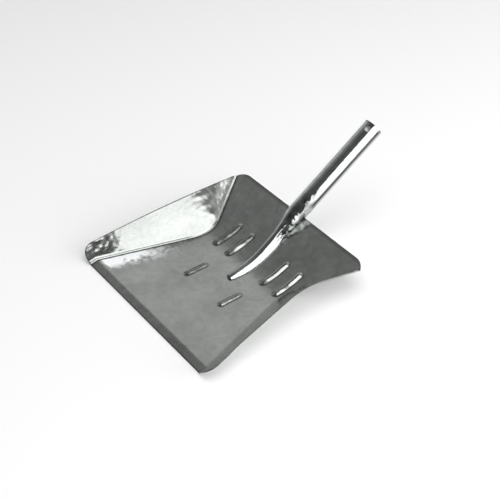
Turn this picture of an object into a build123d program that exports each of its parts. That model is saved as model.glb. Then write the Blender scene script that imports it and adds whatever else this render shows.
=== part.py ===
from build123d import *
import math
import os

# Hand feed scoop of galvanised sheet steel. X is across the pan, Y runs from the
# front lip to the handle, Z is up. Lengths are millimetres and angles degrees.

# ---- pan, measured along its blank before bending ----
pan_t = 1.0              # sheet thickness
front_w = 240.0          # blank's width at the front edge
back_w = 207.0           # and at the back edge
side_bow = 2.5           # how far each long edge bulges at its middle
front_corner_r = 13.0
back_corner_r = 15.0
lip_l = 9.5              # front strip bent down to scrape the ground
lip_angle = 9.0
lip_r = 5.0              # inside radius of the lip's bend
floor_l = 120.0          # from the front edge to where the pan curves up
bend_r = 65.0            # radius of that curve on the inside face
back_angle = 22.5        # slope of the back
back_l = 63.0            # straight part of the back, up to its top edge

# ---- folds that turn up the two side walls ----
fold_inset = 16.0        # from the fold to the blank's long edge, at the front
fold_toe = 17.0          # the folds close in towards the middle by this angle
fold_tilt = 24.1         # half of the angle that each wall is turned up by
fold_r = 3.0             # inside radius of the folds

# ---- pressed beads: width, height, then start and end along the pan ----
bead_front = (6.5, 1.6, 68.0, 97.0)
bead_rear = (8.0, 2.3, 120.5, 160.0)
bead_inner_x = 29.5      # from the middle of the pattern
bead_outer_x = 51.0
mark_dx = 6.0            # the beads sit this far to the right of the pan's middle

# ---- handle: one sheet rolled into a tube, its root closed down to a tongue ----
tube_t = 0.7             # sheet thickness
tube_d = 21.4            # outside diameter
tube_angle = 33.3        # slope of the tube
root_back = 4.72         # the tube's root begins on its axis, this far behind
root_up = 12.74          # and above the pan's back edge
tube_l = 110.0           # from that point to the open end
seam_gap = 1.2           # open seam of the rolled sheet
seam_short = 6.0         # the seam closes this far before the root
seam_turn = 96.0         # from under the tube round to its right side
notch_l = 3.0            # gap between the back edge and the tube's under side
hole_d = 6.0             # hanging hole, through both walls
hole_from_end = 8.0
hole_turn = 20.0         # the hole leans to the right by this angle

# stations of the tongue: distance forward of the back edge, offset to the right,
# half width, height of the widest point and height of the crown above the pan
tongue = [
    (16.5, 0.3, 9.2, 5.3, 14.6),
    (26.5, 1.5, 7.8, 3.8, 11.2),
    (41.5, 3.9, 7.2, 2.7, 9.2),
    (59.5, 5.7, 7.0, 2.1, 8.0),
    (76.5, 7.2, 6.4, 1.8, 7.0),
    (93.5, 8.4, 5.2, 1.6, 5.6),
    (101.5, 9.0, 4.0, 1.3, 4.2),
    (105.5, 9.3, 2.6, 0.9, 2.8),
]

# ---- spot welds under the tongue: distance forward of the back edge, offset ----
weld_d = 4.0
welds = [(95.5, 8.4), (79.5, 7.3), (63.5, 6.0), (47.5, 4.6), (31.5, 2.3), (17.5, 0.4)]

turn_l = bend_r * math.radians(back_angle)
pan_l = floor_l + turn_l + back_l


def sind(a):
    return math.sin(math.radians(a))


def cosd(a):
    return math.cos(math.radians(a))


def on_pan(s, up=0.0):
    """Y, Z and slope at distance s along the pan's inside face, raised by up."""
    slope = back_angle * min(max((s - floor_l) / turn_l, 0.0), 1.0)
    past = max(s - floor_l - turn_l, 0.0)
    y = min(s, floor_l) + bend_r * sind(slope) + past * cosd(slope)
    z = bend_r * (1 - cosd(slope)) + past * sind(slope)
    return y - up * sind(slope), z + up * cosd(slope), slope


def across(s, x, up):
    """Plane across the pan at distance s, its z along the pan and its y upwards."""
    y, z, slope = on_pan(s, up)
    return Plane(origin=(x, y, z), x_dir=(-1, 0, 0), z_dir=(0, cosd(slope), sind(slope)))


def side_line(up, front_more=0.0, back_more=0.0):
    """Side view of the pan's inside face, raised by up, from front to back."""
    r = lip_r + pan_t + up
    low = up - r

    def on_lip_bend(a):
        return (0, lip_l - r * sind(a), low + r * cosd(a))

    lip_top = on_lip_bend(lip_angle)
    reach = lip_l / cosd(lip_angle) + front_more
    tip = (0, lip_top[1] - reach * cosd(lip_angle), lip_top[2] - reach * sind(lip_angle))
    flat_start = (0, lip_l, up)
    stops = (floor_l, floor_l + turn_l / 2, floor_l + turn_l, pan_l + back_more)
    turn_a, turn_b, turn_c, top = [(0, *on_pan(s, up)[:2]) for s in stops]
    return [
        Line(tip, lip_top),
        ThreePointArc(lip_top, on_lip_bend(lip_angle / 2), flat_start),
        Line(flat_start, turn_a),
        ThreePointArc(turn_a, turn_b, turn_c),
        Line(turn_c, top),
    ]


def between(low, high, half_w, more=0.0):
    """Solid between two heights over the inside face, longer by more at both ends."""
    a = side_line(low, more, more)
    b = side_line(high, more, more)
    ends = [Line(a[0] @ 0, b[0] @ 0), Line(a[-1] @ 1, b[-1] @ 1)]
    return extrude(make_face(Wire(a + b + ends)), half_w, both=True)


# ---- pan: a bent sheet, its sides turned up by mirroring them in the fold planes ----
back_y = on_pan(pan_l)[0]
mid_x = (front_w + back_w) / 4 + side_bow
outline = make_face(Wire([
    Line((-front_w / 2, 0, 0), (front_w / 2, 0, 0)),
    ThreePointArc((front_w / 2, 0, 0), (mid_x, back_y / 2, 0), (back_w / 2, back_y, 0)),
    Line((back_w / 2, back_y, 0), (-back_w / 2, back_y, 0)),
    ThreePointArc((-back_w / 2, back_y, 0), (-mid_x, back_y / 2, 0), (-front_w / 2, 0, 0)),
]))
outline = fillet(outline.vertices().filter_by(lambda v: v.Y < 1), front_corner_r)
outline = fillet(outline.vertices().filter_by(lambda v: v.Y > back_y - 1), back_corner_r)
blank = between(-pan_t, 0, front_w, 25)
waste = between(-pan_t - 1.5, 1.5, front_w, 25) - Pos(0, 0, -60) * extrude(outline, 200)

run = Vector(sind(fold_toe), cosd(fold_toe), 0)
rise = Vector(-cosd(fold_toe), sind(fold_toe), 0) * cosd(fold_tilt) + Vector(0, 0, sind(fold_tilt))
corner = Vector(fold_inset - front_w / 2, 0, -pan_t / 2)
left_fold = Plane(origin=corner, x_dir=run, z_dir=run.cross(rise))
right_fold = Plane(
    origin=(-corner.X, corner.Y, corner.Z),
    x_dir=(-run.X, run.Y, 0),
    z_dir=(-left_fold.z_dir.X, left_fold.z_dir.Y, left_fold.z_dir.Z),
)


def cut_side(solids, fold):
    """Cut solids by a fold plane: the parts towards the middle, then the rest."""
    inner = []
    outer = []
    for solid in solids:
        for piece in split(solid, bisect_by=fold, keep=Keep.BOTH).solids():
            side = (piece.center() - fold.origin).dot(fold.z_dir)
            (inner if side > 0 else outer).append(piece)
    return inner, outer


def turn_up(shape):
    """Turn up both sides of a flat shape about the folds."""
    inner, left = cut_side(shape.solids(), left_fold)
    inner, right = cut_side(inner, right_fold)
    left = [mirror(piece, about=left_fold) for piece in left]
    right = [mirror(piece, about=right_fold) for piece in right]
    return inner + left + right


def height_over(p):
    """How far a point lies above the pan's inside face."""
    if p.Y < floor_l:
        return p.Z + max(lip_l - p.Y, 0.0) * math.tan(math.radians(lip_angle))
    if p.Y < on_pan(floor_l + turn_l)[0]:
        return bend_r - math.hypot(p.Y - floor_l, p.Z - bend_r)
    y, z, slope = on_pan(pan_l)
    return (p.Z - z) * cosd(slope) - (p.Y - y) * sind(slope)


def fold_edges(fold, inside):
    """Edges of the pan that lie along one fold, on its inside or its outside."""
    found = ShapeList()
    for e in pan.edges():
        in_plane = all(abs((e @ t - fold.origin).dot(fold.z_dir)) < 0.001 for t in (0, 0.3, 0.7, 1))
        if in_plane and e.length > 0.1 and abs((e @ 0 - e @ 1).Y) > 0.5:
            if (height_over(e @ 0.5) > -pan_t / 2) == inside:
                found.append(e)
    return found


pan = Part() + turn_up(blank)
for fold in (left_fold, right_fold):
    pan = fillet(fold_edges(fold, True), fold_r)
    pan = fillet(fold_edges(fold, False), fold_r + pan_t)
pan -= turn_up(waste)


def bead_tool(x, w, h, s0, s1, thinner):
    """Half-round bar that follows the pan from s0 to s1, with ball ends."""
    r = (w * w / 4 + h * h) / (2 * h)
    sink = h - r
    r -= thinner
    a = s0 + w / 2
    b = s1 - w / 2
    tool = across(a, x, sink) * split(Sphere(r), bisect_by=Plane.XY, keep=Keep.BOTTOM)
    for low, high in ((a, min(b, floor_l)), (max(a, floor_l + turn_l), b)):
        if high > low:
            bar = Pos(0, 0, (high - low) / 2) * Cylinder(r, high - low)
            tool += across(low, x, sink) * bar
    low = max(a, floor_l)
    high = min(b, floor_l + turn_l)
    if high > low:
        start = math.degrees((low - floor_l) / bend_r)
        hub = Plane(
            origin=(x, floor_l, bend_r),
            x_dir=(0, sind(start), -cosd(start)),
            z_dir=(1, 0, 0),
        )
        turn = math.degrees((high - low) / bend_r)
        tool += hub * Torus(bend_r - sink, r, major_angle=turn, align=None)
    end = split(Sphere(r), bisect_by=Plane.XY, keep=Keep.TOP)
    return tool + across(b, x, sink) * end


beads = [(mark_dx + x, *bead_front) for x in (-bead_inner_x, bead_inner_x)]
for x in (-bead_outer_x, -bead_inner_x, bead_inner_x, bead_outer_x):
    beads.append((mark_dx + x, *bead_rear))
upper_side = between(-pan_t / 2, 12, front_w / 2)
for bead in beads:
    pan += bead_tool(*bead, 0) & upper_side
    pan -= bead_tool(*bead, pan_t)


# ---- handle ----
def oval(plane, half_w, above, below):
    """Closed section of two half ellipses that meet at their widest points."""
    top = EllipticalCenterArc((0, 0), half_w, above, 0, arc_size=180)
    low = EllipticalCenterArc((0, 0), half_w, below, 180, arc_size=180)
    return plane * make_face(Wire([top, low]))


def tube_plane(t):
    """Plane across the tube, t along its axis, with y upwards."""
    y, z, _ = on_pan(pan_l)
    y += root_back + t * cosd(tube_angle)
    z += root_up + t * sind(tube_angle)
    return Plane(origin=(0, y, z), x_dir=(-1, 0, 0), z_dir=(0, cosd(tube_angle), sind(tube_angle)))


def handle_form(thinner):
    """The handle's outside as a solid form, or its inside when made thinner."""
    r = tube_d / 2 - thinner
    tube = tube_plane((tube_l + thinner) / 2) * Cylinder(r, tube_l + thinner)
    rings = [oval(tube_plane(t), r, r, r) for t in (0, -5)]
    for from_back, x, half_w, widest, crown in tongue:
        end_wall = 3 * thinner if from_back == tongue[-1][0] else 0
        plane = across(pan_l - from_back + end_wall, x, widest)
        rings.append(oval(plane, half_w - thinner, crown - widest - thinner, widest + 3 - thinner))
    return tube + loft(rings)


def under(up, back_more):
    """Solid that fills the space under the inside face raised by up."""
    line = side_line(up, 0, back_more)
    y, z, _ = on_pan(pan_l + back_more, up - 20)
    low = [
        Line(line[-1] @ 1, (0, y, z)),
        Line((0, y, z), (0, y, -20)),
        Line((0, y, -20), (0, 0, -20)),
        Line((0, 0, -20), line[0] @ 0),
    ]
    return extrude(make_face(Wire(line + low)), 60, both=True)


handle = handle_form(0) - under(0, notch_l)
handle -= handle_form(tube_t) - under(tube_t, notch_l + tube_t)

seam_l = tube_l - seam_short
seam_at = tube_plane(seam_short + seam_l / 2 + 1) * Rot(0, 0, -seam_turn) * Pos(0, -tube_d / 2, 0)
handle -= seam_at * Box(seam_gap, tube_d, seam_l + 2)
hole_at = tube_plane(tube_l - hole_from_end) * Rot(0, 0, hole_turn) * Rot(90, 0, 0)
handle -= hole_at * Cylinder(hole_d / 2, 2 * tube_d)

# ---- spot welds ----
both_sheets = between(-pan_t, tube_t, 40)
slugs = []
for from_back, x in welds:
    y, z, slope = on_pan(pan_l - from_back)
    slug = Pos(x, y, z) * Rot(slope, 0, 0) * Cylinder(weld_d / 2, 8) & both_sheets
    slugs.append(slug)
    pan -= slug
    handle -= slug

# ---- the origin is under the middle of the scoop, at its lowest point ----
box = (Part() + [pan, handle]).bounding_box()
home = Pos(0, -(box.min.Y + box.max.Y) / 2, -box.min.Z)
os.makedirs("parts", exist_ok=True)
for name, shapes in (("pan", [pan]), ("handle", [handle]), ("spot_welds", slugs)):
    solids = [home * solid for shape in shapes for solid in shape.solids()]
    export_step(Compound(children=solids), f"parts/{name}.step")
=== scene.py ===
import bmesh
import bpy
import math
import numpy as np
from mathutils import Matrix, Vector, noise


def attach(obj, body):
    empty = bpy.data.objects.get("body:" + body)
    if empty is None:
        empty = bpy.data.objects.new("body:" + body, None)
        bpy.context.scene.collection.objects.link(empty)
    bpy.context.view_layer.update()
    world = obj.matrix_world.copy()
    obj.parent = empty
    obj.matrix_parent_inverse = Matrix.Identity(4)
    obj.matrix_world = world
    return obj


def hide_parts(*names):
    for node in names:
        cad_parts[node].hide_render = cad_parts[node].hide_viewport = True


# A galvanised feed scoop as thin, worn sheets: the pan, the rolled handle and the
# spot welds between them. Shapes are worked out in millimetres, Y from the front edge
# and Z from the floor's inside face, and home moves them to the frame's origin.

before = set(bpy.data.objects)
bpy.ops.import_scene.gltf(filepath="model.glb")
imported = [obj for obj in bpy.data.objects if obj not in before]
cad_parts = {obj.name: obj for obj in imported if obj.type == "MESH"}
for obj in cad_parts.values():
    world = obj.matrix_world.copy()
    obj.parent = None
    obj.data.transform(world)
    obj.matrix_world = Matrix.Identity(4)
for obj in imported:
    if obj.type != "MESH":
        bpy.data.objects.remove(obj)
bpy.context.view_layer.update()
scene = bpy.context.scene

# ---- camera ----
cam_data = bpy.data.cameras.new("camera")
cam_data.sensor_width = 36.0
cam_data.lens = 77.26
cam = bpy.data.objects.new("camera", cam_data)
cam.location = (0.6833, -0.5394, 0.7305)
cam.rotation_euler = Vector((-0.6118, 0.4673, -0.6382)).to_track_quat("-Z", "Y").to_euler()
scene.collection.objects.link(cam)
scene.camera = cam

# ---- pan, along its blank ----
pan_t = 1.0
front_w = 240.0
back_w = 207.0
side_bow = 2.5
front_corner_r = 13.0
back_corner_r = 15.0
lip_l = 9.5
lip_angle = math.radians(9.0)
lip_r = 5.0
# the bend is a softer one than the CAD's, between the same floor and the same back
floor_l = 113.05
bend_r = 100.0
back_angle = math.radians(22.5)
back_l = 56.05
fold_inset = 16.0
fold_toe = math.radians(17.0)
fold_tilt = math.radians(24.1)
fold_soft = 0.55         # how far the rounded fold stays off its corner
turn_l = bend_r * back_angle
pan_l = floor_l + turn_l + back_l

# ---- pressed beads: width, height, start and end along the pan ----
mark_dx = 6.0            # beads and tongue sit to the right of the middle
bead_front = (6.5, 2.35, 68.0, 97.0)
bead_rear = (8.5, 3.1, 120.5, 160.0)
bead_inner_x = 29.5
bead_outer_x = 51.0

# ---- handle ----
tube_t = 0.7
tube_d = 21.4
tube_angle = math.radians(33.3)
tube_root = (207.8, 41.8)
tube_l = 110.0
seam_gap = 1.2
seam_turn = math.radians(96.0)
hole_d = 6.0
hole_from_end = 8.0
hole_turn = math.radians(20.0)
# distance along the pan, middle, half width, height of widest point, crown
tongue = np.array([
    (101.5, 8.4, 4.2, 1.2, 3.4),
    (104.0, 8.6, 4.6, 1.3, 4.0),
    (108.0, 8.7, 5.0, 1.5, 4.8),
    (115.0, 8.3, 5.6, 1.6, 5.8),
    (132.0, 7.2, 6.4, 1.8, 7.0),
    (149.0, 5.7, 7.0, 2.1, 8.0),
    (167.0, 3.9, 7.2, 2.7, 9.2),
    (182.0, 1.5, 7.8, 3.8, 11.2),
    (192.0, 0.3, 9.2, 5.3, 14.6),
])
# outline of the tongue's section: share of half width, share of crown
roof = ((1.02, 0.0), (0.98, 0.12), (0.38, 0.84), (-0.2, 1.03), (-0.62, 0.91), (-0.86, 0.55), (-1.0, 0.0))
roof_fades = (158.0, 186.0)  # that outline turns into a round one between these

# ---- spot welds: distance along the pan, offset to the right ----
weld_r = 2.0
weld_spots = ((113.0, 8.4), (129.0, 7.3), (145.0, 6.0), (161.0, 4.6), (177.0, 2.3), (191.0, 0.4))

home = np.array((0.0, -152.44435, 2.44233))


def on_pan(s, up):
    """Y and Z at distance s along the pan's inside face, raised by up."""
    slope = back_angle * np.clip((s - floor_l) / turn_l, 0.0, 1.0)
    past = np.maximum(s - floor_l - turn_l, 0.0)
    y = np.minimum(s, floor_l) + bend_r * np.sin(slope) + past * np.cos(slope)
    z = bend_r * (1 - np.cos(slope)) + past * np.sin(slope)
    r = lip_r + pan_t + up
    before = np.maximum(lip_l - s, 0.0)
    on_arc = np.minimum(before, r * math.sin(lip_angle))
    drop = r - np.sqrt(np.maximum(r * r - on_arc ** 2, 0.0)) + (before - on_arc) * math.tan(lip_angle)
    return y - up * np.sin(slope), z + up * np.cos(slope) - drop


def noise_at(points, size, seed):
    """Smooth noise of about -1 to 1 at points, its lumps about size across."""
    shift = Vector((seed * 17.3, seed * 5.1, seed * 9.7))
    return np.array([noise.noise(Vector(p) / size + shift) for p in points])


def lumps(points, *layers):
    """Layers of smooth noise added up, each (height, size, seed)."""
    return sum(height * noise_at(points, size, seed) for height, size, seed in layers)


def smooth_step(a, b, x):
    """Rise from 0 at a to 1 at b, level at both ends."""
    t = np.clip((x - a) / (b - a), 0.0, 1.0)
    return t * t * (3 - 2 * t)


def bump_at(x, mid, width):
    """Bell curve of height 1 at mid."""
    return np.exp(-((x - mid) / width) ** 2)


def curve_through(xs, ys, x):
    """Smooth curve through given points."""
    xs = np.array(xs, dtype=float)
    ys = np.array(ys, dtype=float)
    slopes = np.gradient(ys, xs)
    i = np.clip(np.searchsorted(xs, x) - 1, 0, len(xs) - 2)
    w = xs[i + 1] - xs[i]
    t = np.clip((x - xs[i]) / w, 0.0, 1.0)
    return (
        ys[i] * (2 * t ** 3 - 3 * t ** 2 + 1)
        + slopes[i] * w * (t ** 3 - 2 * t ** 2 + t)
        + ys[i + 1] * (3 * t ** 2 - 2 * t ** 3)
        + slopes[i + 1] * w * (t ** 3 - t ** 2)
    )


def sheet_object(name, points, faces, thickness, painted_shade, bloom_and_painted_highlight):
    """Object of sheet metal from the middle of its thickness; painted shade, and bloom with a painted
    highlight, are 0 to 1.
    """
    mesh = bpy.data.meshes.new(name)
    mesh.from_pydata(((points + home) / 1000).tolist(), [], faces)
    mesh.update()
    for key, values in (("painted_shade", painted_shade), ("bloom_and_painted_highlight", bloom_and_painted_highlight)):
        layer = mesh.attributes.new(key, "FLOAT", "POINT")
        layer.data.foreach_set("value", np.clip(values, 0.0, 1.0).astype(np.float32))
    mesh.polygons.foreach_set("use_smooth", [True] * len(mesh.polygons))
    shell = bmesh.new()
    shell.from_mesh(mesh)
    bmesh.ops.remove_doubles(shell, verts=shell.verts, dist=0.00001)
    shell.to_mesh(mesh)
    shell.free()
    obj = bpy.data.objects.new(name, mesh)
    scene.collection.objects.link(obj)
    mod = obj.modifiers.new("thickness", "SOLIDIFY")
    mod.thickness = thickness / 1000
    mod.offset = 0.0
    mod.use_even_offset = False
    return obj


def steps(*runs):
    """Positions along a line: each run is (start, end, spacing)."""
    found = []
    for a, b, gap in runs:
        n = max(1, round((b - a) / gap))
        found.extend(a + (b - a) * i / n for i in range(n))
    found.append(runs[-1][1])
    return np.array(found)


# ---- pan's mesh: rows along it, and points across each row ----
back_y = float(on_pan(np.array(pan_l), 0.0)[0])
mid_x = (front_w + back_w) / 4 + side_bow


def side_circle():
    """Centre and radius of the arc that each long edge of the blank follows."""
    pts = [complex(front_w / 2, 0), complex(mid_x, back_y / 2), complex(back_w / 2, back_y)]
    w = (pts[2] - pts[0]) / (pts[1] - pts[0])
    c = (pts[0] - pts[1]) * (w - abs(w) ** 2) / (2j * w.imag) - pts[0]
    return -c, abs(pts[0] + c)


side_c, side_r = side_circle()


def half_width(y):
    """Half the blank's width, with its corners rounded."""
    w = side_c.real + np.sqrt(side_r ** 2 - (y - side_c.imag) ** 2)
    for r, d in ((front_corner_r, y), (back_corner_r, back_y - y)):
        inside = np.clip(r - d, 0.0, r)
        w = w - (r - np.sqrt(r * r - inside ** 2))
    return w


def from_bead(x, s, bead):
    """Distance from the line along a bead's middle."""
    x0, w, _, s0, s1 = bead
    return np.hypot(x - x0, s - np.clip(s, s0 + w / 2, s1 - w / 2))


def bead_height(x, s, bead):
    """Height of a pressed bead over the floor: a rounded crown and straight flanks."""
    w, h = bead[1:3]
    foot = 0.44 * w          # where the flank, 0.15 below the floor, ends
    crown = 0.2 * h
    blend_in = 0.05          # rounds the foot, in square millimetres
    flank = (h + 0.15) / foot
    arch = h + crown - np.sqrt((flank * from_bead(x, s, bead)) ** 2 + crown ** 2)
    return (arch + np.sqrt(arch ** 2 + blend_in)) / 2


beads = [(mark_dx + x, *bead_front) for x in (-bead_inner_x, bead_inner_x)]
for x in (-bead_outer_x, -bead_inner_x, bead_inner_x, bead_outer_x):
    beads.append((mark_dx + x, *bead_rear))


def fold_frame(side):
    """A point on a fold's plane and the plane's normal."""
    at = np.array((side * (front_w / 2 - fold_inset), 0.0, -pan_t / 2))
    run = np.array((-side * math.sin(fold_toe), math.cos(fold_toe), 0.0))
    rise = np.array((
        side * math.cos(fold_toe) * math.cos(fold_tilt),
        math.sin(fold_toe) * math.cos(fold_tilt),
        math.sin(fold_tilt),
    ))
    return at, np.cross(run, rise) * -side


def fold_x(s):
    """Distance from the middle to the right fold, at distance s along the pan."""
    at, normal = fold_frame(1)
    y, z = on_pan(s, -pan_t / 2)
    return at[0] - (y * normal[1] + (z - at[2]) * normal[2]) / normal[0]


rows = steps((0, 1.5, 0.25), (1.5, 14, 0.6), (14, 64, 1.1), (64, 100, 0.7), (100, 117, 0.9),
             (117, 163, 0.7), (163, 192, 0.9), (192, pan_l - 2, 0.6), (pan_l - 2, pan_l, 0.25))
near_fold = np.array((0.0, 0.35, 0.7, 1.1, 1.5, 2.0, 2.5, 3.1, 3.8, 4.6, 5.5, 6.5))
middle = np.linspace(-1.0, 1.0, 190)
wall = np.linspace(0.0, 1.0, 46)[1:]
wall_least = 1.5         # the fold's points stay this far inside the edge
wall_full = 16.0         # walls narrower than this have their points closer together


def lane_xs(s, edge):
    """Points across the pan at distance s: close together at the two folds."""
    fx = min(float(fold_x(np.array(s))), edge - wall_least)
    fine = near_fold * min(1.0, (edge - fx) / wall_full)
    out = np.concatenate([fx + fine, fx + fine[-1] + wall * (edge - fx - fine[-1])])
    inner = fx - near_fold[:0:-1]
    core = middle * (inner[0] - 0.9)
    half = np.concatenate([inner, out])
    return np.concatenate([-half[::-1], core, half])


S = []
X = []
for s in rows:
    plan = min(max(float(on_pan(np.array(s), 0.0)[0]), 0.0), back_y)
    lane = lane_xs(s, float(half_width(np.array(plan))))
    X.append(lane)
    S.append(np.full(len(lane), s))
S = np.array(S)
X = np.array(X)
flat = np.stack([X.ravel(), S.ravel(), np.zeros(X.size)], -1)
xs, ss = flat[:, 0], flat[:, 1]
past_fold = (np.abs(xs) - fold_x(ss)) * math.cos(fold_toe)

# ---- pan's surface ----
up = np.full(X.size, -pan_t / 2)
uneven = 1.0 + lumps(flat, (0.16, 9.0, 7))
for bead in beads:
    up += bead_height(xs, ss, bead) * uneven
# waves in the sheet: gentle over the floor, crumpled at both ends of the walls
on_wall = smooth_step(2.0, 8.0, past_fold)
rear_end = on_wall * smooth_step(122.0, 146.0, ss)
front_end = on_wall * (1 - smooth_step(26.0, 52.0, ss))
streaks = flat * (1.0, 0.5, 1.0)
up += lumps(flat, (0.28, 60.0, 1), (0.07, 22.0, 2))
up += rear_end * (lumps(streaks, (0.75, 12.0, 3)) + lumps(flat, (0.24, 5.5, 4)))
up += front_end * lumps(flat, (0.5, 11.0, 5), (0.26, 4.5, 6))
y, z = on_pan(ss, up)
pan_pts = np.stack([xs, y, z], -1)

# each fold starts steeper than its wall, most of all at the rear
fold_rise = 1.75 + 0.5 * smooth_step(118.0, 140.0, ss)
steep = fold_rise * np.clip((past_fold + 2.0) / 2.0, 0.0, 1.0)
steep += 0.75 * np.clip(past_fold / 2.0, 0.0, 1.0)
steep *= 1 - 0.55 * smooth_step(2.5, 60.0, past_fold)
# the walls open out a little at the front
flare = 0.12 * np.clip(past_fold - 2.5, 0.0, 16.0) * (1 - smooth_step(10.0, 50.0, ss))
# a fine crease runs along the front half of each fold
crease = 0.45 * np.clip(1 - np.abs(past_fold - 0.2) / 0.7, 0.0, 1.0)
crease *= 1 - smooth_step(95.0, 125.0, ss)
lift = steep - flare - crease
for side in (-1, 1):
    at, normal = fold_frame(side)
    depth = (pan_pts - at) @ normal
    pan_pts = pan_pts + (np.sqrt(depth ** 2 + fold_soft ** 2) - depth)[:, None] * normal
    up_way = np.array((0.0, 0.0, 1.0))
    wall_way = 2 * normal * (normal @ up_way) - up_way
    wall_way[:] = (-side * abs(wall_way[0]), wall_way[1], abs(wall_way[2]))
    pan_pts = pan_pts + (lift * (xs * side > 0))[:, None] * wall_way

n_rows, n_lanes = X.shape
pan_faces = []
for i in range(n_rows - 1):
    for j in range(n_lanes - 1):
        a = i * n_lanes + j
        pan_faces.append((a, a + 1, a + n_lanes + 1, a + n_lanes))

# darker along the sheet's edges, and painted shade on the lip, on the top edge, beside the folds and at
# the beads' feet
edge_x = half_width(np.clip(on_pan(ss, 0.0)[0], 0.0, back_y))
to_edge = np.minimum(np.minimum(ss, pan_l - ss), edge_x - np.abs(xs))
pan_painted_shade = 0.75 * (1 - smooth_step(0.3, 1.4, to_edge))
pan_painted_shade += 0.22 * (1 - smooth_step(6.5, 9.0, ss))
pan_painted_shade += 0.3 * (1 - smooth_step(2.5, 5.0, pan_l - ss))
pan_painted_shade += 0.35 * bump_at(past_fold, -3.2, 1.3)
for bead in beads:
    pan_painted_shade += 0.45 * bump_at(from_bead(xs, ss, bead), bead[1] / 2, 0.9)

# white bloom on the zinc where the left fold meets the front of the floor
from_left_fold = past_fold + 100.0 * (xs > 0)
bloom_area = smooth_step(-30.0, -9.0, from_left_fold) * (1 - smooth_step(-5.0, -3.0, from_left_fold))
bloom_area *= smooth_step(8.0, 14.0, ss) * (1 - smooth_step(30.0, 110.0, ss))
patches = lumps(flat, (0.6, 13.0, 21), (0.75, 3.6, 22))
pan_bloom_and_painted_highlight = 1.2 * bloom_area * smooth_step(-0.4, 0.7, patches + 1.2 * bloom_area - 0.35)
# and a painted highlight, a pale strip along the right fold's front
right_fold_highlight = smooth_step(12.0, 25.0, ss) * (1 - smooth_step(58.0, 84.0, ss)) * (xs > 0)
pan_bloom_and_painted_highlight += 0.6 * bump_at(past_fold, -1.0, 0.9) * right_fold_highlight
pan = sheet_object("pan_sheet", pan_pts, pan_faces, pan_t, pan_painted_shade, pan_bloom_and_painted_highlight)
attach(pan, "root")
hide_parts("pan")

# ---- handle: rings from the tongue's tip to the open end of the tube ----
around = 112
ring_turn = np.linspace(0.0, 1.0, around + 1)


def ring_angles(gap):
    """Angles round a ring from one edge of the seam to the other."""
    return seam_turn - math.pi / 2 + gap + ring_turn * (2 * math.pi - 2 * gap)


def roof_section(half_w, crown, angles, foot):
    """The tongue's section at angles round its middle, its corners rounded."""
    pts = np.array([(a * half_w, max(b * crown, foot)) for a, b in roof])
    for _ in range(3):
        nxt = np.roll(pts, -1, axis=0)
        pts = np.stack([0.78 * pts + 0.22 * nxt, 0.22 * pts + 0.78 * nxt], 1).reshape(-1, 2)
    hub_h = 0.38 * crown
    turn = np.arctan2(pts[:, 1] - hub_h, pts[:, 0])
    order = np.argsort(turn)
    wrapped = (angles + math.pi) % (2 * math.pi) - math.pi
    x = np.interp(wrapped, turn[order], pts[order, 0], period=2 * math.pi)
    h = np.interp(wrapped, turn[order], pts[order, 1], period=2 * math.pi)
    return x, h


def tongue_ring(s):
    """Ring of points round the tongue at distance s along the pan."""
    mid, half_w, widest, crown = [curve_through(tongue[:, 0], tongue[:, k], s) for k in (1, 2, 3, 4)]
    half_w = half_w - tube_t / 2
    crown = crown - tube_t / 2
    foot = tube_t / 2 + 0.05     # clear of the pan, where the section is pressed flat
    angles = ring_angles(0.0)
    round_x = half_w * np.cos(angles)
    reach = np.where(np.sin(angles) > 0, crown - widest, widest + 3)
    round_h = np.maximum(widest + reach * np.sin(angles), foot)
    roof_x, roof_h = roof_section(half_w, crown, angles, foot)
    k = smooth_step(*roof_fades, s)
    x = mid + round_x * k + roof_x * (1 - k)
    h = round_h * k + roof_h * (1 - k)
    y, z = on_pan(np.full_like(h, s), h)
    return np.stack([x, y, z], -1)


def tube_ring(t):
    """Ring of points round the tube, t along its axis."""
    r = (tube_d - tube_t) / 2
    gap = 0.5 * seam_gap * smooth_step(2.0, 7.0, t) / r
    angles = ring_angles(gap)
    y = tube_root[0] + t * math.cos(tube_angle) - r * np.sin(angles) * math.sin(tube_angle)
    z = tube_root[1] + t * math.sin(tube_angle) + r * np.sin(angles) * math.cos(tube_angle)
    return np.stack([r * np.cos(angles), y, z], -1)


rings = []
for s in steps((101.5, 110.0, 0.5), (110.0, 160.0, 1.2), (160.0, 192.0, 0.8)):
    rings.append(tongue_ring(s))
neck_a = rings[-1]
neck_a_way = (neck_a - tongue_ring(190.0)) / 2
neck_b = tube_ring(2.0)
neck_b_way = tube_ring(3.0) - neck_b
span = np.linalg.norm(neck_b - neck_a, axis=1)[:, None]
for t in np.linspace(0, 1, 34)[1:-1]:
    rings.append(
        neck_a * (2 * t ** 3 - 3 * t ** 2 + 1) + neck_a_way * span * (t ** 3 - 2 * t ** 2 + t)
        + neck_b * (3 * t ** 2 - 2 * t ** 3) + neck_b_way * span * (t ** 3 - t ** 2)
    )
for t in steps((2.0, 96.0, 1.2), (96.0, 108.0, 0.6), (108.0, tube_l, 0.4)):
    rings.append(tube_ring(t))
n_rings = len(rings)
per = around + 1
handle_pts = np.concatenate(rings)
ring_mid = np.repeat([ring.mean(0) for ring in rings], per, axis=0)
out = handle_pts - ring_mid
out /= np.maximum(np.linalg.norm(out, axis=1), 0.3)[:, None]
along = handle_pts[:, 1]
over_pan = handle_pts[:, 2] - on_pan(along, 0.0)[1]

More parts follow.
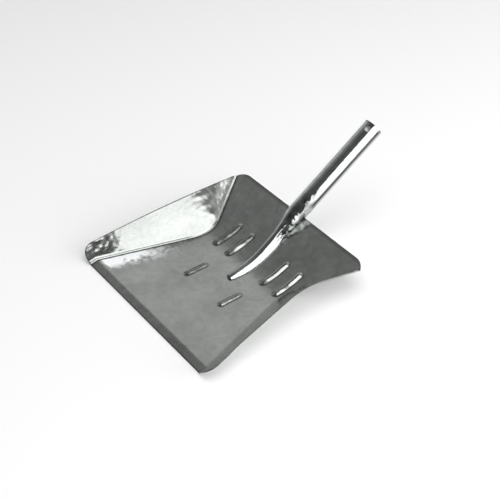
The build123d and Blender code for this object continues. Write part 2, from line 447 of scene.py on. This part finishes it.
# dents all over, and a crumpled neck that is pinched in on its right side
neck = smooth_step(150.0, 178.0, along) * (1 - smooth_step(206.0, 222.0, along))
flank = smooth_step(-0.1, 0.6, out[:, 0] + 0.35 * out[:, 2])
free = smooth_step(0.5, 3.0, over_pan)
crumples = lumps(handle_pts, (1.05, 8.5, 12), (0.38, 3.8, 13)) - 0.4 * flank
pinch = 3.4 * bump_at(along, 172.0, 7.5) * smooth_step(0.35, 0.85, out[:, 0])
dents = lumps(handle_pts * (1.0, 0.45, 1.0), (0.10, 9.0, 11)) * smooth_step(110.0, 130.0, along)
dents += neck * free * (0.10 + 0.90 * flank) * crumples
dents -= pinch * free
handle_pts = handle_pts + dents[:, None] * out

# painted shade in the seam and below it, round the mouth, in the neck's creases and at the tongue's foot
on_tube = smooth_step(208.0, 214.0, along)
from_seam = np.tile(np.minimum(ring_turn, 1 - ring_turn) * math.pi * tube_d, n_rings)
below_seam = np.tile((1 - ring_turn) * math.pi * tube_d, n_rings)
outward = along + 0.4 * handle_pts[:, 2]
to_mouth = outward.max() - outward
over_pan = handle_pts[:, 2] - on_pan(along, 0.0)[1]
handle_painted_shade = 0.8 * (1 - smooth_step(0.2, 1.6, from_seam)) * on_tube
handle_painted_shade += 0.45 * (1 - smooth_step(1.5, 6.0, below_seam)) * on_tube
handle_painted_shade += 0.85 * (1 - smooth_step(4.0, 7.0, to_mouth)) * (1 - smooth_step(0.45, 0.75, out[:, 0]))
handle_painted_shade += neck * flank * (0.55 + lumps(handle_pts, (0.5, 6.0, 14)))
handle_painted_shade += 0.5 * (1 - smooth_step(0.2, 1.2, over_pan)) * (along < 200)
handle_faces = []
for i in range(n_rings - 1):
    for j in range(around):
        a = i * per + j
        handle_faces.append((a, a + per, a + per + 1, a + 1))
handle = sheet_object("handle_sheet", handle_pts, handle_faces, tube_t, handle_painted_shade, 0 * along)
handle.modifiers["thickness"].material_offset = 1


def drill(obj, at, way, r, length):
    """Cut a round hole, and keep the result as the object's mesh."""
    bpy.ops.mesh.primitive_cylinder_add(vertices=64, radius=r, depth=length, location=at)
    bit = bpy.context.object
    bit.rotation_euler = way.to_track_quat("Z", "Y").to_euler()
    mod = obj.modifiers.new("hole", "BOOLEAN")
    mod.object = bit
    mod.operation = "DIFFERENCE"
    done = bpy.data.meshes.new_from_object(obj.evaluated_get(bpy.context.evaluated_depsgraph_get()))
    obj.modifiers.clear()
    obj.data = done
    bpy.data.objects.remove(bit, do_unlink=True)


hole_t = tube_l - hole_from_end
hole_at = Vector((
    0.0,
    tube_root[0] + hole_t * math.cos(tube_angle) + home[1],
    tube_root[1] + hole_t * math.sin(tube_angle) + home[2],
)) / 1000
hole_way = Vector((
    math.sin(hole_turn),
    -math.cos(hole_turn) * math.sin(tube_angle),
    math.cos(hole_turn) * math.cos(tube_angle),
))
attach(handle, "root")
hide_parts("handle")

# ---- spot welds: dished discs that show under the pan and inside the tongue ----
weld_sides = 28
# height over the pan's inside face and radius of each ring, from below to above
weld_rings = (
    (-pan_t - 0.02, 0.6), (-pan_t - 0.22, 1.5), (-pan_t - 0.05, weld_r),
    (tube_t + 0.1, weld_r), (tube_t + 0.28, 1.5), (tube_t + 0.1, 0.6),
)
shell = bmesh.new()
for s0, x0 in weld_spots:
    layers = []
    for up0, r in weld_rings:
        ring = []
        for k in range(weld_sides):
            a = 2 * math.pi * k / weld_sides
            y0, z0 = on_pan(np.array(s0 + r * math.sin(a)), up0)
            spot = np.array((x0 + r * math.cos(a), float(y0), float(z0))) + home
            ring.append(shell.verts.new(spot / 1000))
        layers.append(ring)
    for low, high in zip(layers, layers[1:]):
        for k in range(weld_sides):
            shell.faces.new((low[k - 1], low[k], high[k], high[k - 1]))
    shell.faces.new(layers[0][::-1])
    shell.faces.new(layers[-1])
weld_mesh = bpy.data.meshes.new("weld_marks")
shell.to_mesh(weld_mesh)
shell.free()
weld_mesh.polygons.foreach_set("use_smooth", [True] * len(weld_mesh.polygons))
welds = bpy.data.objects.new("weld_marks", weld_mesh)
scene.collection.objects.link(welds)
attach(welds, "root")
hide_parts("spot_welds")

# ---- materials ----
# dark colour of the painted shade in seams, creases, folds and at bead feet, and of the darker sheet
# edges
painted_shade_colour = (0.10, 0.105, 0.10, 1.0)
# near-white of the zinc bloom and of the painted highlight along the right fold
bloom_and_painted_highlight_colour = (0.97, 0.99, 1.0, 1.0)


def node(tree, kind, **values):
    """New node, its values set on sockets of that name or else as properties."""
    n = tree.nodes.new(kind)
    for key, value in values.items():
        if key in n.inputs:
            n.inputs[key].default_value = value
        else:
            setattr(n, key, value)
    return n


def ramp(tree, source, *stops):
    """Colour ramp over a value: each stop is (position, grey or colour)."""
    n = tree.nodes.new("ShaderNodeValToRGB")
    while len(n.color_ramp.elements) < len(stops):
        n.color_ramp.elements.new(0.5)
    for element, (at, colour) in zip(n.color_ramp.elements, stops):
        element.position = at
        if isinstance(colour, float):
            colour = (colour, colour, colour)
        element.color = (*colour, 1.0)
    tree.links.new(source, n.inputs["Fac"])
    return n.outputs["Color"]


def blend(tree, mode, amount, a, b):
    """Mix of two colours; amount is a number or a socket."""
    n = tree.nodes.new("ShaderNodeMix")
    n.data_type = "RGBA"
    n.blend_type = mode
    for socket, value in ((n.inputs[0], amount), (n.inputs[6], a), (n.inputs[7], b)):
        if isinstance(value, (float, tuple)):
            socket.default_value = value
        else:
            tree.links.new(value, socket)
    return n.outputs[2]


def galvanised(name, dark, light, rough, bump_mm):
    """Hot-dip zinc: crystal spangle, cloudy patches, painted shade, white bloom and a painted highlight.

    dark and light are colours, rough the least and most roughness, sizes are metres.
    """
    mat = bpy.data.materials.new(name)
    mat.use_nodes = True
    tree = mat.node_tree
    shader = tree.nodes["Principled BSDF"]
    coord = tree.nodes.new("ShaderNodeTexCoord").outputs["Object"]

    def noise_tex(size, detail, distortion=0.0):
        n = node(tree, "ShaderNodeTexNoise", Scale=1.0 / size, Detail=detail, Distortion=distortion)
        tree.links.new(coord, n.inputs["Vector"])
        return n.outputs["Fac"]

    cloud = noise_tex(0.045, 4.0, 0.6)
    patch = noise_tex(0.012, 5.0, 1.2)
    fine = noise_tex(0.0022, 3.0)
    cells = node(tree, "ShaderNodeTexVoronoi", Scale=1.0 / 0.007)
    tree.links.new(coord, cells.inputs["Vector"])
    spangle = ramp(tree, cells.outputs["Color"], (0.0, 0.0), (1.0, 1.0))
    base = ramp(tree, cloud, (0.3, dark), (0.7, light))
    base = blend(tree, "MULTIPLY", 1.0, base, ramp(tree, spangle, (0.0, 0.9), (1.0, 1.04)))
    base = blend(tree, "MULTIPLY", 1.0, base, ramp(tree, patch, (0.3, 0.86), (0.6, 1.0)))
    # painted shade: the dark colour is mixed in where the attribute is high
    painted_shade = node(tree, "ShaderNodeAttribute", attribute_name="painted_shade").outputs["Fac"]
    base = blend(tree, "MIX", painted_shade, base, painted_shade_colour)
    # white zinc bloom, and a painted highlight along the right fold: near-white and less metallic
    bloom_and_painted_highlight = node(tree, "ShaderNodeAttribute", attribute_name="bloom_and_painted_highlight").outputs["Fac"]
    base = blend(tree, "MIX", bloom_and_painted_highlight, base, bloom_and_painted_highlight_colour)
    tree.links.new(ramp(tree, bloom_and_painted_highlight, (0.0, 1.0), (1.0, 0.1)), shader.inputs["Metallic"])
    tree.links.new(base, shader.inputs["Base Color"])
    r = blend(tree, "MIX", 0.45, ramp(tree, patch, (0.3, rough[0]), (0.7, rough[1])),
              ramp(tree, spangle, (0.0, rough[0]), (1.0, rough[1])))
    tree.links.new(r, shader.inputs["Roughness"])
    height = blend(tree, "ADD", 1.0, ramp(tree, patch, (0.0, 0.0), (1.0, 1.0)),
                   ramp(tree, fine, (0.0, 0.0), (1.0, 0.06)))
    bump = node(tree, "ShaderNodeBump", Strength=1.0, Distance=bump_mm / 1000)
    tree.links.new(height, bump.inputs["Height"])
    tree.links.new(bump.outputs["Normal"], shader.inputs["Normal"])
    return mat


pan_mat = galvanised("galvanised_pan", (0.50, 0.52, 0.50), (0.62, 0.64, 0.62), (0.15, 0.25), 0.12)
handle_mat = galvanised("galvanised_handle", (0.60, 0.62, 0.62), (0.74, 0.76, 0.76), (0.07, 0.16), 0.22)
weld_mat = galvanised("weld_steel", (0.3, 0.3, 0.3), (0.42, 0.42, 0.4), (0.3, 0.45), 0.05)
inside_mat = galvanised("handle_inside", (0.66, 0.68, 0.66), (0.78, 0.8, 0.78), (0.45, 0.6), 0.1)
pan.data.materials.append(pan_mat)
handle.data.materials.append(handle_mat)
handle.data.materials.append(inside_mat)
drill(handle, hole_at, hole_way, hole_d / 2000, 2 * tube_d / 1000)
welds.data.materials.append(weld_mat)

# ---- floor and light ----
room = 12.0
bpy.ops.mesh.primitive_plane_add(size=room, location=(0, 0, 0))
ground = bpy.context.object
ground.name = "ground"
mat = bpy.data.materials.new("ground")
mat.use_nodes = True
mat.node_tree.nodes["Principled BSDF"].inputs["Base Color"].default_value = (0.9, 0.9, 0.9, 1)
mat.node_tree.nodes["Principled BSDF"].inputs["Roughness"].default_value = 0.9
ground.data.materials.append(mat)

# the room is lighter at the left and behind, and dim overhead and towards the front
world = bpy.data.worlds.new("world")
scene.world = world
world.use_nodes = True
tree = world.node_tree
way = tree.nodes.new("ShaderNodeTexCoord").outputs["Generated"]
near = node(tree, "ShaderNodeVectorMath", operation="DOT_PRODUCT")
tree.links.new(way, near.inputs[0])
near.inputs[1].default_value = Vector((0.3, -0.5, 0.8)).normalized()
sky = ramp(
    tree, near.outputs["Value"],
    (0.0, 0.5), (0.1, 0.56), (0.2, 0.62), (0.31, 0.22), (0.6, 0.22), (0.86, 0.10),
)
tree.links.new(sky, tree.nodes["Background"].inputs["Color"])


def soft_light(name, at, aim, size, glow, in_mirror=True):
    """Rectangular light of an even glow, facing a point."""
    data = bpy.data.lights.new(name, "AREA")
    data.shape = "RECTANGLE"
    data.size, data.size_y = size
    data.energy = glow * math.pi * size[0] * size[1]
    obj = bpy.data.objects.new(name, data)
    obj.location = at
    obj.rotation_euler = (Vector(aim) - Vector(at)).to_track_quat("-Z", "Y").to_euler()
    obj.visible_glossy = in_mirror
    scene.collection.objects.link(obj)
    return obj


soft_light("light_right", (1.3, 0.40, 0.88), (0.0, 0.40, 0.88), (1.84, 1.76), 1.95)
soft_light("light_low_back", (0.95, 1.45, 0.42), (0.0, 0.0, 0.1), (1.5, 0.8), 2.6)
soft_light("light_top", (0.3, -0.3, 2.2), (0.0, 0.0, 0.0), (2.4, 2.4), 2.3, False)

scene.view_settings.view_transform = "Standard"
